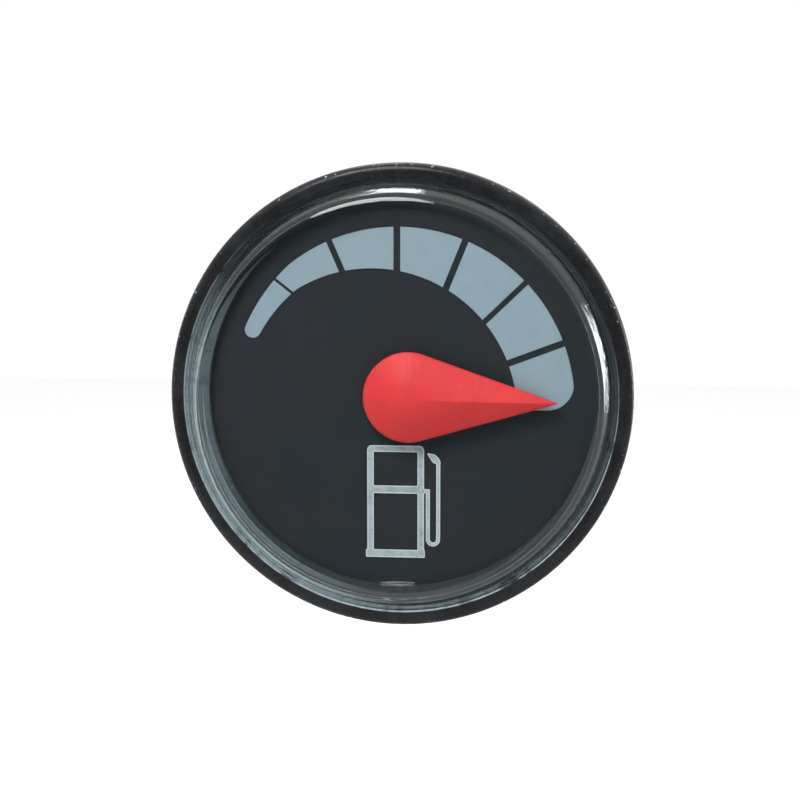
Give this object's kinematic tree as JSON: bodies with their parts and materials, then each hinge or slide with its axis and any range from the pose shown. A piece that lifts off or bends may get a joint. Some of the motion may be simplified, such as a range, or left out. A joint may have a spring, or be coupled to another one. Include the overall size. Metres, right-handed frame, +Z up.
{
  "type": "fuel gauge",
  "caption": "Round black dashboard fuel gauge with a raised clear lens, a segmented crescent scale, a pump symbol, a red teardrop pointer and a rear clamp for a panel hole.",
  "frame": {"origin": "on the gauge's axis, in the front plane of the panel that it is clamped to", "axes": "the dial faces -Y, +Z is up on the dial, +X is to the viewer's right"},
  "size_m": [0.058, 0.063, 0.058],
  "materials": {
    "black_enamel": "gloss",
    "clear_acrylic": "gloss",
    "black_rubber": "matte",
    "black_plastic": "satin",
    "grey_rubber": "matte",
    "grey_plastic": "satin",
    "dial_black": "matte",
    "print_grey_blue": "matte",
    "print_pale_grey": "satin",
    "white_plastic": "satin",
    "red_plastic": "satin",
    "brass": "satin",
    "polished_steel": "polished",
    "plated_steel": "satin",
    "case_steel": "satin",
    "tinned_metal": "satin",
    "ferrite": "matte",
    "natural_plastic": "satin",
    "enamelled_copper": "gloss",
    "board_brown": "satin",
    "resistor_body": "gloss",
    "brown_phenolic": "satin",
    "bulb_glass": "gloss",
    "tungsten": "matte"
  },
  "bodies": {
    "case": {"bezel_ring": "black_enamel", "lens": "clear_acrylic", "lens_seal": "grey_rubber", "dial_retainer": "grey_plastic", "dial_plate": "dial_black", "scale_segments": "print_grey_blue", "pump_symbol": "print_pale_grey", "light_diffuser": "white_plastic", "stop_pins": "polished_steel", "front_bearing": "brass", "rear_bearing": "brass", "front_bobbin": "natural_plastic", "rear_bobbin": "natural_plastic", "inner_coil": "enamelled_copper", "outer_coil": "enamelled_copper", "coil_pins": "tinned_metal", "shield_can": "plated_steel", "zero_magnet": "ferrite", "movement_frame": "white_plastic", "movement_screws": "plated_steel", "frame_spacers": "plated_steel", "board_spacers": "plated_steel", "circuit_board": "board_brown", "calibration_resistor": "resistor_body", "case_shell": "case_steel", "panel_gasket": "black_rubber", "terminal_block": "black_plastic", "supply_blade": "tinned_metal", "sender_blade": "tinned_metal", "earth_blade": "tinned_metal", "mounting_studs": "plated_steel", "stud_nuts": "plated_steel"},
    "pointer_assembly": {"pointer": "red_plastic", "pointer_bush": "brass", "spindle": "polished_steel", "rotor_magnet": "ferrite", "balance_arm": "plated_steel", "balance_weight": "brass"},
    "clamp": {"mounting_clamp": "plated_steel", "spring_washers": "plated_steel"},
    "left_nut": {"left_thumb_nut": "brass"},
    "right_nut": {"right_thumb_nut": "brass"},
    "lamp": {"lamp_holder": "plated_steel", "lamp_insulator": "brown_phenolic", "lamp_blade": "tinned_metal", "bulb_cap": "brass", "bulb_glass": "bulb_glass", "bulb_filament": "tungsten"}
  },
  "joints": [
    {"name": "pointer_turn", "type": "hinge", "parent": "case", "child": "pointer_assembly", "pos_m": [0, 0, 0], "axis": [0, -1, 0], "range_deg": [-4, 164]},
    {"name": "clamp_slide", "type": "slide", "parent": "case", "child": "clamp", "axis": [0, 1, 0], "range_m": [-0.0022, 0.0014]},
    {"name": "left_nut_spin", "type": "hinge", "parent": "clamp", "child": "left_nut", "pos_m": [-0.017, 0.05, 0], "axis": [0, 1, 0], "range_deg": [-1135, 722]},
    {"name": "right_nut_spin", "type": "hinge", "parent": "clamp", "child": "right_nut", "pos_m": [0.017, 0.05, 0], "axis": [0, 1, 0], "range_deg": [-1135, 722]},
    {"name": "lamp_pull", "type": "slide", "parent": "case", "child": "lamp", "axis": [0, 1, 0], "range_m": [0, 0.034]}
  ],
  "couplings": [
    {"joint": "left_nut_spin", "follows": "clamp_slide", "rad_per_m": 8976},
    {"joint": "right_nut_spin", "follows": "clamp_slide", "rad_per_m": 8976}
  ]
}
